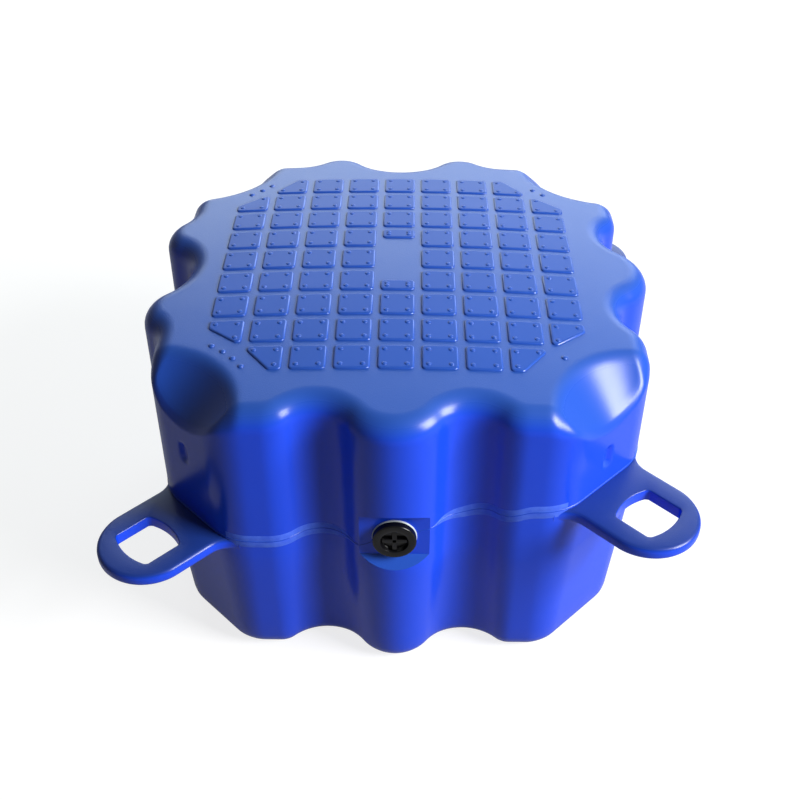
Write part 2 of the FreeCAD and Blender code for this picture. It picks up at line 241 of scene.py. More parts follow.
# Finish of the blue plastic. A facing pair is the upward share of the normal at which a change
# starts and ends; the other pairs are the values before and after that change.
# The colour's turn to the deck's blue by facing is painted sheen and shade.
SHEEN_SHADE_FACING = (0.05, 1.0)
FINISH_FACING = (0.64, 1.0)
PAD_FACING = (0.80, 0.98)
WALL_ROUGHNESS = (0.25, 0.44)
WALL_SPECULAR = (0.32, 0.44)
PAD_ROUGHNESS = (0.20, 0.46)
PAD_SPECULAR = (0.75, 0.18)
GRAIN_STRENGTH = (0.03, 0.30)
GRAIN_DEPTH = 0.0004
WAVE_STRENGTH = 0.10
WAVE_DEPTH = 0.004
SPECKLED_SPECULAR = 0.3

# Sockets of a colour mix
MIX_SHARE = 0
MIX_COLOURS = (6, 7)
MIX_RESULT = 2

# Camera at the photograph's angle: place in millimetres, turn in degrees, lens and film in
# millimetres, far limit in metres
CAMERA_AT = (12.66, -1063.27, 1019.74)
CAMERA_TURN = (51.0616, -0.1565, 0.6731)
CAMERA_LENS = 51.789
CAMERA_FILM = 36.0
CAMERA_FAR = 50

# Stage and light, in metres and watts. The backdrop is white, where a strength of 1 is white, to
# the camera alone and a share of that in a gloss; WORLD is what it gives to everything else.
WORLD = 0.045
FLOOR_HALF = 6.0
FLOOR_Z = -0.0005
FLOOR_GREY = (0.26, 0.26, 0.26)
FLOOR_ROUGHNESS = 0.9
FLOOR_LIFT = 0.80
SHARE_IN_GLOSS = 0.28
WHITE = (1, 1, 1)
LAMP_AIM = (0, 0, 0.2)
LAMPS = {
    "window": {"at": (2.27, -1.08, 1.66), "size": (1.2, 1.4), "power": 148, "colour": WHITE},
    "back": {"at": (0.3, 3.0, 1.5), "size": (4.0, 1.6), "power": 98, "colour": (0.84, 0.98, 1)},
}


# Plain helpers

def shade(mesh, smooth_angle):
    """Smooth shading, except over edges sharper than an angle in degrees."""
    mesh.shade_smooth()
    mesh.set_sharp_from_angle(angle=math.radians(smooth_angle))


def mesh_object(name, vertices, faces, smooth_angle=PIECE_SMOOTH):
    """A mesh object in metres from points in millimetres."""
    mesh = bpy.data.meshes.new(name)
    mesh.from_pydata([tuple(c * MM for c in v) for v in vertices], [], [tuple(f) for f in faces])
    bm = bmesh.new()
    bm.from_mesh(mesh)
    bmesh.ops.remove_doubles(bm, verts=bm.verts, dist=WELD)
    bmesh.ops.recalc_face_normals(bm, faces=bm.faces)
    bm.to_mesh(mesh)
    bm.free()
    shade(mesh, smooth_angle)
    piece = bpy.data.objects.new(name, mesh)
    bpy.context.scene.collection.objects.link(piece)
    return piece


def dress(piece, material):
    """Gives a piece its material and its slot, and sets it on the one body."""
    piece.data.materials.clear()
    piece.data.materials.append(material)
    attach(piece, "root")


def turned(points, degrees):
    """Points turned about the vertical axis through the origin."""
    a = math.radians(degrees)
    p = np.array(points, float)
    out = p.copy()
    out[:, 0] = p[:, 0] * math.cos(a) - p[:, 1] * math.sin(a)
    out[:, 1] = p[:, 0] * math.sin(a) + p[:, 1] * math.cos(a)
    return out


def smoothstep(t):
    """A soft step from 0 to 1 as t goes from 0 to 1."""
    t = np.clip(t, 0.0, 1.0)
    return t * t * (3 - 2 * t)


def at_height(plan, z):
    """Points in plan lifted to one height, or to one for each."""
    return np.column_stack([plan, np.broadcast_to(z, len(plan))])


def ring_quads(rings, count, base=0):
    """Quads between neighbouring closed rings of points, which start at a base index."""
    faces = []
    for r in range(rings - 1):
        low, high = base + r * count, base + (r + 1) * count
        for k in range(count):
            j = (k + 1) % count
            faces.append((low + k, low + j, high + j, high + k))
    return faces


# Plan outline

def arc_points(centre, radius, start, end, convex, step):
    """Samples of an arc with their inward normals, the end left out."""
    a0 = math.atan2(start[1] - centre[1], start[0] - centre[0])
    a1 = math.atan2(end[1] - centre[1], end[0] - centre[0])
    sweep = (a1 - a0 + math.pi) % (2 * math.pi) - math.pi
    count = max(2, round(abs(sweep) * radius / step))
    a = a0 + sweep * np.arange(count) / count
    ray = np.stack([np.cos(a), np.sin(a)], 1)
    return np.array(centre) + ray * radius, -ray if convex else ray


def line_points(start, end, step):
    """Samples of a straight stretch with their inward normals, the end left out."""
    start, end = np.array(start), np.array(end)
    length = float(np.linalg.norm(end - start))
    count = max(1, round(length / step))
    along = (end - start) / length
    points = start + np.outer(np.arange(count) / count, end - start)
    return points, np.tile([-along[1], along[0]], (count, 1))


def side_heights(outward):
    """Distances of the centre, the valleys and the outer lobes from the middle of the float."""
    sign = 1 if outward else -1
    return [(PITCH - GAP) / 2 + sign * h for h in (WAVE_CENTRE, WAVE_VALLEY, WAVE_SIDE)]


def far_arc(near, far):
    """Radius of the arc at a peak and the point where it meets the valley's arc."""
    length, fall = far[0] - near[0], near[1] - far[1]
    both = (length ** 2 + fall ** 2) / (2 * abs(fall))
    share = VALLEY_R / both
    return both - VALLEY_R, (near[0] + length * share, near[1] - fall * share)


def side_stretches(outward):
    """The arcs and lines of one side from corner flat to corner flat, seen from outside as (t, w)."""
    centre, valley, lobe = side_heights(outward)
    bulge = math.copysign(1, centre - valley)
    nose_r, inner = far_arc((VALLEY_T, valley), (0, centre))
    lobe_r, outer = far_arc((VALLEY_T, valley), (SIDE_T, lobe))
    dip = CORNER_R * math.sin(math.pi / 4)
    rise = CORNER_R - dip
    corner_t = CORNER_CUT - lobe - CORNER_R * math.tan(math.pi / 8)
    half = [
        ((VALLEY_T, valley + bulge * VALLEY_R), VALLEY_R, inner, outer, bulge < 0),
        ((SIDE_T, lobe - bulge * lobe_r), lobe_r, outer, (SIDE_T, lobe), bulge > 0),
        (None, 0, (SIDE_T, lobe), (corner_t, lobe), True),
        ((corner_t, lobe - CORNER_R), CORNER_R, (corner_t, lobe), (corner_t + dip, lobe - rise), True),
    ]
    other = [(c and (-c[0], c[1]), r, (-e[0], e[1]), (-s[0], s[1]), v) for c, r, s, e, v in half]
    nose = ((0, centre - bulge * nose_r), nose_r, (-inner[0], inner[1]), inner, bulge > 0)
    return other[::-1] + [nose] + half


def placed_side(quarter, outward):
    """The stretches of a side in plan, turned by quarters from the front."""
    turn = np.linalg.matrix_power(np.array([[0, -1], [1, 0]]), quarter)
    stretches = []
    for centre, radius, start, end, convex in side_stretches(outward):
        places = [p and tuple(turn @ np.array([p[0], -p[1]])) for p in (centre, start, end)]
        stretches.append((places[0], radius, places[1], places[2], convex))
    return stretches


def outline():
    """Samples round the whole float, counter-clockwise: points and inward normals."""
    sides = [placed_side(k, outward) for k, outward in enumerate((True, True, False, False))]
    samples = []
    for side, following in zip(sides, sides[1:] + sides[:1]):
        for centre, radius, start, end, convex in side:
            if centre is None:
                samples.append(line_points(start, end, OUTLINE_STEP))
            else:
                samples.append(arc_points(centre, radius, start, end, convex, OUTLINE_STEP))
        samples.append(line_points(side[-1][3], following[0][2], OUTLINE_STEP / 2))
    points, normals = zip(*samples)
    return np.concatenate(points), np.concatenate(normals)


def moved_in(points, normals, inset):
    """Points of the outline moved inward by one distance, or by one for each."""
    return points + normals * np.reshape(inset, (-1, 1))


def corner_places():
    """Corners of the module in plan, by name."""
    places = {}
    for name, corner in CORNERS.items():
        a = math.radians(corner["turn"])
        signs = [math.copysign(1, math.cos(a)), math.copysign(1, math.sin(a))]
        places[name] = PITCH / 2 * np.array(signs)
    return places


# Top surface of the float as a height over the plan

def crown_height(x, y):
    """The crowned deck, near enough a ball."""
    return DECK_Z - (x * x + y * y) / (2 * CROWN_R)


def scoop_height(x, y):
    """The four cones that rise away from the module corners."""
    rho = np.min([np.hypot(x - c[0], y - c[1]) for c in corner_places().values()], axis=0)
    return DECK_Z - SCOOP_DROP + (rho - SCOOP_R)


def top_height(x, y):
    """The lower of deck and scoops, with the edge between them rounded off."""
    crown, cone = crown_height(x, y), scoop_height(x, y)
    near = np.clip(SCOOP_BLEND - np.abs(crown - cone), 0, None) / SCOOP_BLEND
    return np.minimum(crown, cone) - near * near * SCOOP_BLEND / 4


# Float skin

def dimple_depth(x, y, z):
    """How far a point of a corner flat is pushed in by the dimple there."""
    depth = np.zeros(np.shape(x))
    for corner in corner_places().values():
        across = (x * -corner[1] + y * corner[0]) / np.linalg.norm(corner)
        out = x * corner[0] + y * corner[1] > 0
        up = np.clip(np.abs(z - DIMPLE_Z) - DIMPLE_HALF, 0, None)
        reach = np.hypot(across, up) / DIMPLE_R
        depth = np.maximum(depth, np.where(out, DIMPLE_DEPTH * (1 - smoothstep(reach)), 0))
    return depth


def lower_rings(points, normals):
    """Rings of points from the underside up the low edge and the drafted wall."""
    lean = math.tan(DRAFT)
    foot_z = LOW_R * (1 - math.sin(DRAFT))
    foot_inset = (DRAFT_Z - foot_z) * lean + LOW_R * math.cos(DRAFT)
    edge = [(foot_inset - LOW_R * math.cos(a), LOW_R * (1 - math.sin(a)))
            for a in np.linspace(math.pi / 2, DRAFT, LOW_EDGE_LEVELS)]
    wall = [((DRAFT_Z - z) * lean, z) for z in np.linspace(foot_z, DRAFT_Z, DRAFT_LEVELS)[1:]]
    flat = moved_in(points, normals, foot_inset)
    rings = [at_height(flat * share, 0) for share in UNDERSIDE_SHARES]
    return rings + [at_height(moved_in(points, normals, inset), z) for inset, z in edge + wall]


def upper_rings(points, normals):
    """Rings of points from the drafted wall up the side, over the top edge and in over the deck."""
    x, y = points.T
    crest = top_height(x, y)
    depth = (crown_height(x, y) - crest) / SCOOP_RIM_DEPTH
    rim = TOP_R + (SCOOP_RIM_R - TOP_R) * smoothstep(depth)
    rim_crest = top_height(*moved_in(points, normals, rim).T)
    wall_top = np.minimum(crest, rim_crest) - rim
    rings = []
    for share in np.linspace(0, 1, WALL_LEVELS)[1:]:
        z = DRAFT_Z + (wall_top - DRAFT_Z) * share
        rings.append(at_height(moved_in(points, normals, dimple_depth(x, y, z)), z))
    for a in np.linspace(0, math.pi / 2, TOP_EDGE_LEVELS)[1:]:
        plan = moved_in(points, normals, rim * (1 - math.cos(a)))
        rise = rim * math.sin(a)
        blend = smoothstep(a / (math.pi / 2))
        z = (wall_top + rise) * (1 - blend) + (top_height(*plan.T) - (rim - rise)) * blend
        rings.append(at_height(plan, z))
    collar = moved_in(points, normals, COLLAR_INSET)
    plans = [moved_in(points, normals, rim + (COLLAR_INSET - rim) * share)
             for share in np.linspace(0, 1, COLLAR_LEVELS)[1:]]
    plans += [collar * share for share in np.linspace(1, DECK_RIM_SHARE, DECK_RIM_LEVELS)[1:]]
    plans += [collar * share for share in np.linspace(DECK_RIM_SHARE, DECK_HUB_SHARE, DECK_LEVELS)[1:]]
    return rings + [at_height(plan, top_height(*plan.T)) for plan in plans]


def skin_faces(rings, count):
    """Quads between neighbouring rings, and fans to the two middle points that follow them."""
    faces = ring_quads(rings, count)
    bottom, top = rings * count, rings * count + 1
    last = (rings - 1) * count
    for k in range(count):
        j = (k + 1) % count
        faces.append((bottom, j, k))
        faces.append((top, last + k, last + j))
    return faces


def prism(name, outline_yz, half_width):
    """A cutter that spans left to right with the given outline in the (y, z) plane."""
    count = len(outline_yz)
    vertices = [(s * half_width, y, z) for s in (-1, 1) for y, z in outline_yz]
    caps = [tuple(range(count))[::-1], tuple(range(count, 2 * count))]
    return mesh_object(name, vertices, caps + ring_quads(2, count))


def lathe(name, section, segments=96):
    """A round piece about the plug's axis, from (radius, distance in front of the seat) points."""
    vertices = []
    for radius, depth in section:
        for a in np.linspace(0, 2 * math.pi, segments, endpoint=False):
            vertices.append((radius * math.cos(a), POCKET_Y - depth, PLUG_Z + radius * math.sin(a)))
    return mesh_object(name, vertices, ring_quads(len(section), segments))


def cut(piece, tool):
    """Takes a tool's volume out of a piece."""
    carve = piece.modifiers.new("carve", "BOOLEAN")
    carve.operation = "DIFFERENCE"
    carve.solver = "EXACT"
    carve.object = tool
    graph = bpy.context.evaluated_depsgraph_get()
    mesh = bpy.data.meshes.new_from_object(piece.evaluated_get(graph))
    piece.modifiers.clear()
    piece.data = mesh
    bpy.data.objects.remove(tool)


def cut_plug_pocket(body):
    """Cuts the flared pocket with its flat seat, and the bore behind it."""
    half = POCKET_H / 2
    flare = half + POCKET_REACH * math.tan(POCKET_FLARE)
    front = POCKET_Y - POCKET_REACH
    rim = [(POCKET_Y, PLUG_Z - half), (front, PLUG_Z - flare),
           (front, PLUG_Z + flare), (POCKET_Y, PLUG_Z + half)]
    cut(body, prism("pocket_tool", rim, POCKET_HALF_SPAN))
    bore = BORE_D / 2
    section = [(NEAR_AXIS, -BORE_L), (bore, -BORE_L), (bore, BORE_REACH), (NEAR_AXIS, BORE_REACH)]
    cut(body, lathe("bore_tool", section))


def float_skin():
    """The outer surface of the float without its lugs, pads and seam."""
    points, normals = outline()
    rings = lower_rings(points, normals) + upper_rings(points, normals)
    vertices = np.concatenate(rings + [[[0, 0, 0]], [[0, 0, DECK_Z]]])
    skin = mesh_object("float_skin", vertices, skin_faces(len(rings), len(points)))
    cut_plug_pocket(skin)
    shade(skin.data, SKIN_SMOOTH)
    return skin


# Lugs

def lug_top(corner):
    """Height of a lug's upper face, one step lower from corner to corner."""
    return LUG_TOP_Z - corner["level"] * LUG_STEP


def lug_flank(outward):
    """One flank of a lug in plan: the flare up to the corner's arc, then the root inside."""
    root_x = CORNER_CUT / math.sqrt(2) - LUG_ROOT
    lobe = side_heights(outward)[2]
    hub_t = CORNER_CUT - lobe - CORNER_R * math.tan(math.pi / 8)
    hub = np.array([lobe - CORNER_R + hub_t, lobe - CORNER_R - hub_t]) / math.sqrt(2)
    v = LUG_R + LUG_FLARE_R
    u = hub[0] + math.sqrt((CORNER_R + LUG_FLARE_R) ** 2 - (v - hub[1]) ** 2)
    last = math.atan2(hub[1] - v, hub[0] - u) % (2 * math.pi) - 2 * math.pi
    a = np.linspace(-math.pi / 2, last - LUG_FLARE_STOP, FLARE_POINTS)
    flare = np.column_stack([u + LUG_FLARE_R * np.cos(a), v + LUG_FLARE_R * np.sin(a)])
    return np.concatenate([flare, [[root_x, flare[-1][1] - LUG_ROOT_INSET]]])


def lug_plan(corner):
    """Plan outline of a lug along its diagonal, from inside the corner, with a flare on each side."""
    left, right = [lug_flank(outward) for outward in corner["outward"]]
    a = np.linspace(-math.pi / 2, math.pi / 2, TIP_POINTS)[1:-1]
    tip = np.column_stack([PITCH / math.sqrt(2) + LUG_R * np.cos(a), LUG_R * np.sin(a)])
    return np.concatenate([right[::-1] * [1, -1], tip, left])


def hole_plan():
    """The near-square pin hole: two flat sides, two bowed ends and corners rounded by a circle."""
    a = np.linspace(0, 2 * math.pi, HOLE_POINTS, endpoint=False) + math.pi / HOLE_POINTS
    flats = HOLE_W / 2 / np.abs(np.sin(a))
    hub = (HOLE_END_R - HOLE_L / 2) * np.abs(np.cos(a))
    bows = np.sqrt(HOLE_END_R ** 2 - (HOLE_END_R - HOLE_L / 2) ** 2 * np.sin(a) ** 2) - hub
    reach = np.minimum(np.minimum(flats, bows), HOLE_D / 2)
    return np.column_stack([PITCH / math.sqrt(2) + reach * np.cos(a), reach * np.sin(a)])


def loop_normals(loop):
    """Directions to the left of a closed loop's travel, at its points."""
    ahead = np.roll(loop, -1, 0) - np.roll(loop, 1, 0)
    ahead /= np.linalg.norm(ahead, axis=1, keepdims=True)
    return np.column_stack([-ahead[:, 1], ahead[:, 0]])


def rounded_rim(radius, steps=5):
    """(inset, z) steps of a rim with rounded edges, from the underside to the top."""
    a = np.linspace(0, math.pi / 2, steps)
    low = [(radius * (1 - math.sin(t)), radius * (1 - math.cos(t))) for t in a]
    return low + [(i, LUG_T - z) for i, z in low[::-1]]


def close_levels(mesh, levels):
    """Fills the open edges of a mesh at each of some levels with a flat face."""
    bm = bmesh.new()
    bm.from_mesh(mesh)
    open_edges = [e for e in bm.edges if e.is_boundary]
    for level in levels:
        ring = [e for e in open_edges if abs(e.verts[0].co.z - level * MM) < LEVEL_SLACK]
        bmesh.ops.triangle_fill(bm, edges=ring, use_beauty=True)
    bmesh.ops.recalc_face_normals(bm, faces=bm.faces)
    bm.to_mesh(mesh)
    bm.free()


def lug(name, corner):
    """A flat lug with its pin hole, at its corner."""
    low = lug_top(corner) - LUG_T
    vertices, faces = [], []
    for loop, radius, sign in ((lug_plan(corner), LUG_ROUND, 1), (hole_plan(), HOLE_ROUND, -1)):
        normals = loop_normals(loop) * sign
        rim = rounded_rim(radius)
        faces += ring_quads(len(rim), len(loop), len(vertices))
        for inset, z in rim:
            vertices += [(*p, low + z) for p in loop + normals * inset]
    piece = mesh_object(name, turned(vertices, corner["turn"]), faces)
    close_levels(piece.data, (low, low + LUG_T))
    shade(piece.data, LUG_SMOOTH)
    return piece


# Mould seam

def seam_run(points):
    """Height of the seam at each point of the outline, and how far it lies from a lug's middle."""
    z, run = np.zeros(len(points)), np.zeros(len(points))
    mids = {name: lug_top(corner) - LUG_T / 2 for name, corner in CORNERS.items()}
    mean = sum(mids.values()) / len(mids)
    for name, corner in corner_places().items():
        mine = (points[:, 0] * corner[0] > 0) & (points[:, 1] * corner[1] > 0)
        across = np.abs(points[:, 0] * -corner[1] + points[:, 1] * corner[0]) / np.linalg.norm(corner)
        away = smoothstep((across - SEAM_START) / SEAM_RUN)
        root = mids[name] + SEAM_ROOT_RISE
        rest = SEAM_Z + SEAM_FOLLOW * (mids[name] - mean)
        z = np.where(mine, root + (rest - root) * away, z)
        run = np.where(mine, across, run)
    return z, run


def seam_path():
    """The seam round the float: points in plan, inward normals, heights, and runs from the lugs."""
    points, normals = outline()
    z, run = seam_run(points)
    off_middle = np.abs(points[:, 0])
    seat = (points[:, 1] < 0) & (off_middle < POCKET_H)
    z = np.where(seat, PLUG_Z + (z - PLUG_Z) * smoothstep(off_middle / SEAT_BLEND), z)
    return np.column_stack([points[:, 0], np.maximum(points[:, 1], POCKET_Y)]), normals, z, run


def ribbon(name, section, half_width, height, kept):
    """A strip on the float's skin along the seam, over the kept points of its path."""
    points, normals, z, _ = seam_path()
    rings = [np.column_stack([points - normals * (out * height), z + across * half_width])
             for across, out in section]
    count = len(points)
    faces = [f for f in ring_quads(len(rings), count) if kept[f[0] % count] and kept[f[1] % count]]
    return mesh_object(name, np.concatenate(rings), faces, STRIP_SMOOTH)


def mould_seam():
    """The fine ridge where the mould halves met, left out behind the plug."""
    points, _, _, run = seam_path()
    kept = (points[:, 1] > 0) | (np.abs(points[:, 0]) > SEAL_D / 2)
    return ribbon("mould_seam", SEAM_SECTION, np.full(len(run), SEAM_W), SEAM_H, kept)


def seam_highlight_bands():
    """The lighter bands beside the lugs along the seam, a painted highlight."""
    run = seam_path()[3]
    half_width = HIGHLIGHT_BAND_W * np.sqrt(1 - smoothstep((run - HIGHLIGHT_BAND_START) / HIGHLIGHT_BAND_RUN))
    kept = (run > LUG_R) & (run < HIGHLIGHT_BAND_START + HIGHLIGHT_BAND_RUN)
    return ribbon("seam_highlight_bands", HIGHLIGHT_BAND_SECTION, half_width, HIGHLIGHT_BAND_H, kept)


# Deck pads, studs and dots

def on_deck(vertices, x, y):
    """Points made about the deck's centre at its surface, carried over the crown to another place."""
    reach = math.hypot(x, y)
    a = reach / CROWN_R
    axis = np.array([-y / reach, x / reach, 0])
    hub = [0, 0, DECK_Z - CROWN_R]
    v = np.array(vertices, float) - hub
    side = np.cross(axis, v)
    v = v * math.cos(a) + side * math.sin(a) + np.outer(v @ axis, axis) * (1 - math.cos(a))
    return v + hub


def cut_ends(i, j, sx, sy):
    """Where the cut beside a scoop crosses a pad's two outer edges, the edge across x first."""
    half = PAD_W / 2
    far, near = (CUT_FAR, CUT_NEAR) if abs(i) > abs(j) else (CUT_FAR[::-1], CUT_NEAR[::-1])
    a = (sx * far[0] - i * PAD_PITCH, sy * far[1] - j * PAD_PITCH)
    b = (sx * near[0] - i * PAD_PITCH, sy * near[1] - j * PAD_PITCH)
    slope = (b[1] - a[1]) / (b[0] - a[0])
    ends = [(sx * half, a[1] + (sx * half - a[0]) * slope),
            (a[0] + (sy * half - a[1]) / slope, sy * half)]
    return [(max(-half, min(half, x)), max(-half, min(half, y))) for x, y in ends]


def pad_plan(i, j):
    """Plan corners of the pad in column i and row j from the middle; None where the deck is bare."""
    edge, half = PAD_N // 2, PAD_W / 2
    if (i == 0 and j == 0) or (abs(i) == edge and abs(j) == edge):
        return None
    low, high = -half, half
    if i == 0 and abs(j) == 1:
        low, high = (0, half) if j > 0 else (-half, 0)
    corners = [(-half, low), (half, low), (half, high), (-half, high)]
    if {abs(i), abs(j)} != {edge, edge - 1}:
        return corners
    sx, sy = math.copysign(1, i), math.copysign(1, j)
    ends = cut_ends(i, j, sx, sy)
    at = corners.index((sx * half, sy * half))
    return corners[:at] + (ends if sx == sy else ends[::-1]) + corners[at + 1:]


def rounded_plan(corners, radius, steps=4):
    """A convex polygon's outline with its corners rounded."""
    out = []
    pts = np.array(corners, float)
    for k, p in enumerate(pts):
        a, b = pts[k - 1] - p, pts[(k + 1) % len(pts)] - p
        a, b = a / np.linalg.norm(a), b / np.linalg.norm(b)
        half = math.acos(np.clip(a @ b, -1, 1)) / 2
        reach = radius / math.tan(half)
        hub = p + (a + b) / np.linalg.norm(a + b) * radius / math.sin(half)
        s, e = p + a * reach - hub, p + b * reach - hub
        a0, a1 = math.atan2(s[1], s[0]), math.atan2(e[1], e[0])
        sweep = (a1 - a0 + math.pi) % (2 * math.pi) - math.pi
        for t in np.linspace(0, 1, steps):
            out.append(hub + radius * np.array([math.cos(a0 + sweep * t), math.sin(a0 + sweep * t)]))
    return np.array(out)


def low_block(loop, steps):
    """Vertices and faces of a low raised block: rings of (inset, z) steps, closed on top."""
    normals = loop_normals(loop)
    vertices = np.concatenate([at_height(loop + normals * inset, z) for inset, z in steps])
    last = len(vertices) - len(loop)
    faces = ring_quads(len(steps), len(loop)) + [tuple(range(last, len(vertices)))]
    return vertices, faces


def gather(blocks, name, smooth_angle):
    """One mesh object from many (vertices, faces) blocks."""
    vertices, faces = [], []
    for v, f in blocks:
        faces += [tuple(i + len(vertices) for i in face) for face in f]
        vertices += [tuple(p) for p in v]
    return mesh_object(name, vertices, faces, smooth_angle)


def pad_places():
    """Middle and plan corners of each pad."""
    reach = PAD_N // 2
    for i in range(-reach, reach + 1):
        for j in range(-reach, reach + 1):
            plan = pad_plan(i, j)
            if plan is not None:
                yield i * PAD_PITCH, j * PAD_PITCH, plan


def deck_pads():
    """The field of low pads with rounded edges."""
    bevel = [(PAD_BEVEL * (1 - math.cos(a)), DECK_Z + PAD_H * math.sin(a))
             for a in np.linspace(0, math.pi / 2, PAD_BEVEL_POINTS)]
    steps = [(0, DECK_Z - PAD_SINK)] + bevel + [(PAD_BEVEL + PAD_TOP_RING, DECK_Z + PAD_H)]
    blocks = []
    for x, y, plan in pad_places():
        vertices, faces = low_block(rounded_plan(plan, PAD_CORNER_R), steps)
        blocks.append((on_deck(vertices, x, y), faces))
    return gather(blocks, "deck_pads", PAD_SMOOTH)


def dome(diameter, height, base):
    """A low round stud standing on a level."""
    radius = diameter / 2
    a = np.linspace(0, 2 * math.pi, DOME_SIDES, endpoint=False)
    loop = np.column_stack([np.cos(a), np.sin(a)]) * radius
    rise = [(radius * (1 - math.cos(t)), base + height * math.sin(t)) for t in DOME_ANGLES]
    return low_block(loop, [(0, base - DOME_SINK)] + rise)


def inside(plan, x, y):
    """Whether a stud fits at a point of a pad's flat top."""
    pts = np.array(plan)
    ahead = np.roll(pts, -1, 0) - pts
    ahead /= np.linalg.norm(ahead, axis=1, keepdims=True)
    gap = ahead[:, 0] * (y - pts[:, 1]) - ahead[:, 1] * (x - pts[:, 0])
    return gap.min() > STUD_D / 2 + PAD_BEVEL


def deck_studs():
    """Up to four small studs on each pad."""
    blocks = []
    for x, y, plan in pad_places():
        spread = np.array(plan)
        low, high = spread.min(0) + PAD_W / 2 - STUD_REACH, spread.max(0) - PAD_W / 2 + STUD_REACH
        for sx in (low[0], high[0]):
            for sy in (low[1], high[1]):
                if inside(plan, sx, sy):
                    vertices, faces = dome(STUD_D, STUD_H, DECK_Z + PAD_H)
                    blocks.append((on_deck(vertices + [sx, sy, 0], x, y), faces))
    return gather(blocks, "deck_studs", DOME_SMOOTH)


def level_dots():
    """Dots beside each scoop that count the level of its lug, from one for the highest."""
    blocks = []
    for name, corner in corner_places().items():
        count = CORNERS[name]["level"] + 1
        middle = math.atan2(-corner[1], -corner[0])
        for k in range(count):
            a = middle + (k - (count - 1) / 2) * DOT_STEP / DOT_RING_R
            x, y = corner + DOT_RING_R * np.array([math.cos(a), math.sin(a)])
            vertices, faces = dome(DOT_D, DOT_H, DECK_Z)
            blocks.append((on_deck(vertices, x, y), faces))
    return gather(blocks, "level_dots", DOME_SMOOTH)


# Plug

def thread_section(shank):
    """The thread's ridges along the shank, as (radius, distance in front of the seat) points."""
    section = []
    for k in range(int((SHANK_L - THREAD_END) / THREAD_PITCH)):
        start = -SHANK_L + THREAD_START + k * THREAD_PITCH
        for along, crest in THREAD_SECTION:
            section.append((shank - THREAD_H * (1 - crest), start + along * THREAD_PITCH))
    return section


def plug_cap():
    """The cap with its cup, on a threaded shank."""
    front = SEAL_T + CAP_T
    half, cup, shank = CAP_D / 2, CAP_CUP_D / 2, SHANK_D / 2
    floor_at = front - CAP_CUP_DEPTH
    section = [(NEAR_AXIS, -SHANK_L), (shank - SHANK_CHAMFER, -SHANK_L),
               (shank - THREAD_H, -SHANK_L + SHANK_CHAMFER)]
    section += thread_section(shank)
    section += [(shank, 0), (shank, SEAL_T), (half - CAP_CHAMFER, SEAL_T), (half, SEAL_T + CAP_CHAMFER)]
    for a in np.linspace(0, math.pi / 2, CAP_ROUND_POINTS):
        section.append((half - CAP_ROUND * (1 - math.cos(a)), front - CAP_ROUND * (1 - math.sin(a))))
    section += [(cup + CUP_RIM, front), (cup + CUP_RIM_CUT, front - CUP_RIM_CUT), (cup, front - CUP_RIM),
                (cup - CUP_FLOOR_ROUND / 2, floor_at + CUP_FLOOR_ROUND),
                (cup - CUP_FLOOR_ROUND * 1.5, floor_at), (NEAR_AXIS, floor_at)]
    return lathe("plug_cap", section)


def key_cross():
    """The raised cross in the plug's cup."""
    front = SEAL_T + CAP_T - CAP_CUP_DEPTH
    steps = [(0, front)] + [(inset, front + KEY_H + z) for inset, z in KEY_EDGE]
    blocks = []
    for length, width in ((KEY_L, KEY_W), (KEY_W, KEY_L)):
        u, v = length / 2, width / 2
        loop = rounded_plan([(-u, -v), (u, -v), (u, v), (-u, v)], KEY_CORNER_R)
        vertices, faces = low_block(loop, steps)
        blocks.append(([(x, POCKET_Y - z, PLUG_Z + y) for x, y, z in vertices], faces))
    return gather(blocks, "key_cross", KEY_SMOOTH)


def plug_seal():
    """The ring between cap and seat, with chamfered outer edges."""
    outer, inner = SEAL_D / 2, BORE_D / 2
    section = [(inner, 0), (outer - SEAL_CHAMFER, 0), (outer, SEAL_CHAMFER),
               (outer, SEAL_T - SEAL_CHAMFER), (outer - SEAL_CHAMFER, SEAL_T),
               (inner, SEAL_T), (inner, 0)]
    return lathe("seal_ring", section)


# Materials

def principled(name):
    """A new material with its node tree and its shader."""
    material = bpy.data.materials.new(name)
    material.use_nodes = True
    return material, material.node_tree, material.node_tree.nodes["Principled BSDF"]


def feed(tree, value, socket):
    """Sets a socket to a value, or links it to another socket."""
    if isinstance(value, bpy.types.NodeSocket):
        tree.links.new(value, socket)
    else:
        socket.default_value = value


def opaque(colour):
    """A colour with full cover."""
    return (*colour, 1)


def facing_up(tree, low, high):
    """A share that grows from 0 to 1 as the surface turns to face up."""
    normal = tree.nodes.new("ShaderNodeNewGeometry")
    split = tree.nodes.new("ShaderNodeSeparateXYZ")
    tree.links.new(normal.outputs["Normal"], split.inputs[0])
    share = tree.nodes.new("ShaderNodeMapRange")
    share.interpolation_type = "SMOOTHSTEP"
    share.inputs["From Min"].default_value = low
    share.inputs["From Max"].default_value = high
    tree.links.new(split.outputs["Z"], share.inputs["Value"])
    return share.outputs["Result"]


def graded(tree, share, low, high, socket):
    """Drives a socket between two values by a share."""
    span = tree.nodes.new("ShaderNodeMapRange")
    span.inputs["To Min"].default_value = low
    span.inputs["To Max"].default_value = high
    tree.links.new(share, span.inputs["Value"])
    tree.links.new(span.outputs["Result"], socket)


def mixed(tree, share, *colours):
    """A colour between two colours or colour sockets by a share."""
    mix = tree.nodes.new("ShaderNodeMix")
    mix.data_type = "RGBA"
    tree.links.new(share, mix.inputs[MIX_SHARE])
    for slot, colour in zip(MIX_COLOURS, colours):
        feed(tree, opaque(colour) if isinstance(colour, tuple) else colour, mix.inputs[slot])
    return mix.outputs[MIX_RESULT]


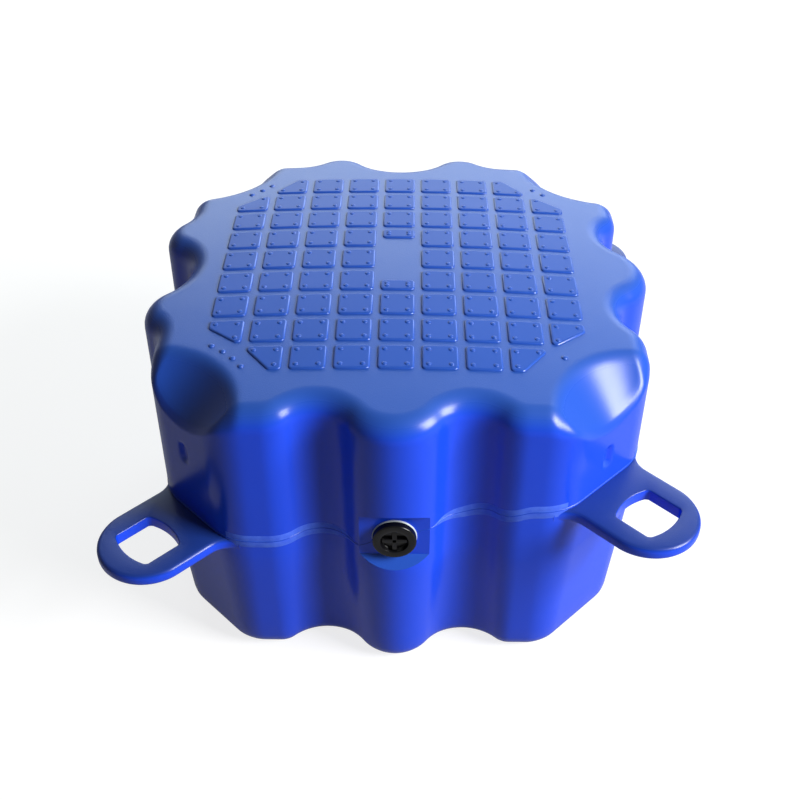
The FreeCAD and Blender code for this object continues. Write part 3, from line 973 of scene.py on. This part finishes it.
def noise(tree, scale, detail):
    """A noise over the object's own space."""
    place = tree.nodes.new("ShaderNodeTexCoord")
    pattern = tree.nodes.new("ShaderNodeTexNoise")
    pattern.inputs["Scale"].default_value = scale
    pattern.inputs["Detail"].default_value = detail
    tree.links.new(place.outputs["Object"], pattern.inputs["Vector"])
    return pattern.outputs["Fac"]


def bump(tree, height, depth):
    """A bump of some depth, in metres, from a height socket."""
    relief = tree.nodes.new("ShaderNodeBump")
    relief.inputs["Distance"].default_value = depth
    tree.links.new(height, relief.inputs["Height"])
    return relief


def float_plastic(name, top):
    """Royal blue moulded plastic: satin sides, with a duller grain on what faces up, and a greyer colour
    there that is painted sheen and shade.
    """
    material, tree, shader = principled(name)
    facing = facing_up(tree, *FINISH_FACING)
    sides = mixed(tree, noise(tree, *WALL_MOTTLE), *WALL_BLUES)
    # The blue of what faces up is painted sheen and shade.
    colour = mixed(tree, facing_up(tree, *SHEEN_SHADE_FACING), sides, top)
    tree.links.new(colour, shader.inputs["Base Color"])
    graded(tree, facing, *WALL_ROUGHNESS, shader.inputs["Roughness"])
    graded(tree, facing, *WALL_SPECULAR, shader.inputs["Specular IOR Level"])
    wave = bump(tree, noise(tree, *WAVE_NOISE), WAVE_DEPTH)
    wave.inputs["Strength"].default_value = WAVE_STRENGTH
    grain = bump(tree, noise(tree, *GRAIN_NOISE), GRAIN_DEPTH)
    graded(tree, facing, *GRAIN_STRENGTH, grain.inputs["Strength"])
    tree.links.new(wave.outputs["Normal"], grain.inputs["Normal"])
    tree.links.new(grain.outputs["Normal"], shader.inputs["Normal"])
    return material


def pad_plastic():
    """The deck's plastic on the raised pads, its blue carrying the deck's painted sheen and shade: dull
    on top and worn to a gloss along the edges.
    """
    material, tree, shader = principled("raised_blue_plastic_painted_sheen")
    facing = facing_up(tree, *PAD_FACING)
    # The pads' blue is painted sheen and shade.
    tree.links.new(mixed(tree, noise(tree, *PAD_MOTTLE), *PAD_SHEEN_SHADE_BLUES), shader.inputs["Base Color"])
    graded(tree, facing, *PAD_ROUGHNESS, shader.inputs["Roughness"])
    graded(tree, facing, *PAD_SPECULAR, shader.inputs["Specular IOR Level"])
    return material


def speckled(name, colours, roughness, scale):
    """A plain moulded material with a faint mottling."""
    material, tree, shader = principled(name)
    colour = mixed(tree, noise(tree, scale, SPECKLE_DETAIL), *colours)
    tree.links.new(colour, shader.inputs["Base Color"])
    shader.inputs["Roughness"].default_value = roughness
    shader.inputs["Specular IOR Level"].default_value = SPECKLED_SPECULAR
    return material


# Stage

def calculated(tree, operation, first, second):
    """A socket with the result of a maths step on a socket and a number or another socket."""
    step = tree.nodes.new("ShaderNodeMath")
    step.operation = operation
    feed(tree, first, step.inputs[0])
    feed(tree, second, step.inputs[1])
    return step.outputs[0]


def background_rays(tree):
    """A socket that is 1 for what the camera sees itself and a smaller share in a gloss."""
    ray = tree.nodes.new("ShaderNodeLightPath")
    in_gloss = calculated(tree, "MULTIPLY", ray.outputs["Is Glossy Ray"], SHARE_IN_GLOSS)
    return calculated(tree, "MAXIMUM", ray.outputs["Is Camera Ray"], in_gloss)


def floor():
    """A wide pale floor, just below the float."""
    half, z = FLOOR_HALF / MM, FLOOR_Z / MM
    corners = [(-half, -half, z), (half, -half, z), (half, half, z), (-half, half, z)]
    piece = mesh_object("floor", corners, [(0, 1, 2, 3)])
    material, tree, shader = principled("pale_floor")
    shader.inputs["Base Color"].default_value = opaque(FLOOR_GREY)
    shader.inputs["Roughness"].default_value = FLOOR_ROUGHNESS
    shader.inputs["Emission Color"].default_value = opaque(WHITE)
    lift = calculated(tree, "MULTIPLY", background_rays(tree), FLOOR_LIFT)
    tree.links.new(lift, shader.inputs["Emission Strength"])
    piece.data.materials.append(material)


def world():
    """The backdrop, with an even light on all that the camera doesn't see itself."""
    backdrop = bpy.data.worlds.new("studio")
    backdrop.use_nodes = True
    tree = backdrop.node_tree
    shader = tree.nodes["Background"]
    shader.inputs["Color"].default_value = opaque(WHITE)
    strength = calculated(tree, "MAXIMUM", background_rays(tree), WORLD)
    tree.links.new(strength, shader.inputs["Strength"])
    bpy.context.scene.world = backdrop


def lamp(name, at, size, power, colour):
    """A soft area lamp turned to the middle of the float."""
    data = bpy.data.lights.new(name, "AREA")
    data.color = colour
    data.shape = "RECTANGLE"
    data.size, data.size_y = size
    data.energy = power
    x, y, z = np.array(LAMP_AIM) - at
    piece = bpy.data.objects.new(name, data)
    piece.location = at
    piece.rotation_euler = (math.atan2(math.hypot(x, y), -z), 0, math.atan2(-x, y))
    bpy.context.scene.collection.objects.link(piece)


def camera():
    """The camera at the photograph's viewing angle."""
    data = bpy.data.cameras.new("camera")
    data.lens = CAMERA_LENS
    data.sensor_width = CAMERA_FILM
    data.clip_end = CAMERA_FAR
    piece = bpy.data.objects.new("camera", data)
    piece.location = [c * MM for c in CAMERA_AT]
    piece.rotation_euler = [math.radians(a) for a in CAMERA_TURN]
    bpy.context.scene.collection.objects.link(piece)
    bpy.context.scene.camera = piece


def build():
    """All pieces of the part, dressed, in the places of the solids that they stand for."""
    # The float's tops carry painted sheen and shade in their blue.
    blue = float_plastic("blue_float_plastic_painted_tops", DECK_SHEEN_SHADE_BLUE)
    # The lugs' tops are given a darker blue, which is painted shade.
    shaded_lug_blue = float_plastic("blue_lug_plastic_painted_shade", LUG_SHADED_BLUE)
    black = speckled("black_plug_plastic", PLUG_BLACKS, roughness=0.20, scale=60)
    pale = speckled("pale_seal", SEAL_GREYS, roughness=0.45, scale=80)
    body = float_skin()
    for piece in (body, mould_seam()):
        dress(piece, blue)
    for name, corner in CORNERS.items():
        dress(lug(f"{name}_lug", corner), shaded_lug_blue)
    raised = pad_plastic()
    for piece in (deck_pads(), deck_studs(), level_dots()):
        dress(piece, raised)
    # The lighter band beside the lugs is a painted highlight.
    band_highlight = speckled("seam_highlight_blue_plastic", SEAM_HIGHLIGHT_BLUES, roughness=0.6, scale=160)
    dress(seam_highlight_bands(), band_highlight)
    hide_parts("float_body")
    cap, cross, seal = plug_cap(), key_cross(), plug_seal()
    dress(cap, black)
    dress(cross, black)
    dress(seal, pale)
    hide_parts("screw_plug")
    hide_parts("plug_seal")


build()
floor()
world()
for lamp_name, values in LAMPS.items():
    lamp(lamp_name, **values)
camera()
bpy.context.scene.view_settings.view_transform = "Standard"
